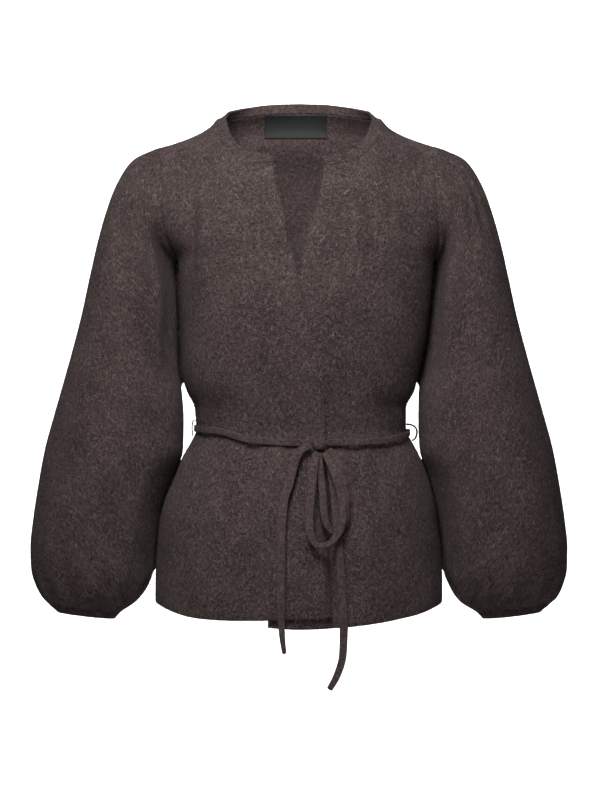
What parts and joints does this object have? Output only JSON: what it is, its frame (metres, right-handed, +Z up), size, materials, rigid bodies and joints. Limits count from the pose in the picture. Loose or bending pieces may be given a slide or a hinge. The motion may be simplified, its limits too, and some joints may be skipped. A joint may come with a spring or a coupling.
{
  "type": "brushed knit wrap cardigan with balloon sleeves and tie belt",
  "caption": "Brushed knit wrap cardigan with dropped balloon sleeves, narrow cuffs, an open V front and a belt tied in a bow at the waist, filled out as worn.",
  "frame": {"origin": "middle of the neck, where the shoulders hold the cardigan up", "axes": "+Z up, -Y out of the front, +X towards the wearer's left"},
  "size_m": [0.7093, 0.2952, 0.7672],
  "materials": {
    "knit": "brushed, fuzzy, matt",
    "label": "smooth woven, matt"
  },
  "bodies": {
    "root": {"back": "knit", "front_right": "knit", "front_left": "knit", "sleeve_right": "knit", "sleeve_left": "knit", "cuff_right": "knit", "cuff_left": "knit", "neckband": "knit", "belt_waist": "knit", "knot": "knit", "bow_loop_back": "knit", "bow_loop_front": "knit", "tail_left": "knit", "tail_right": "knit", "belt_loop_right": "knit", "belt_loop_left": "knit", "label": "label"}
  },
  "joints": []
}
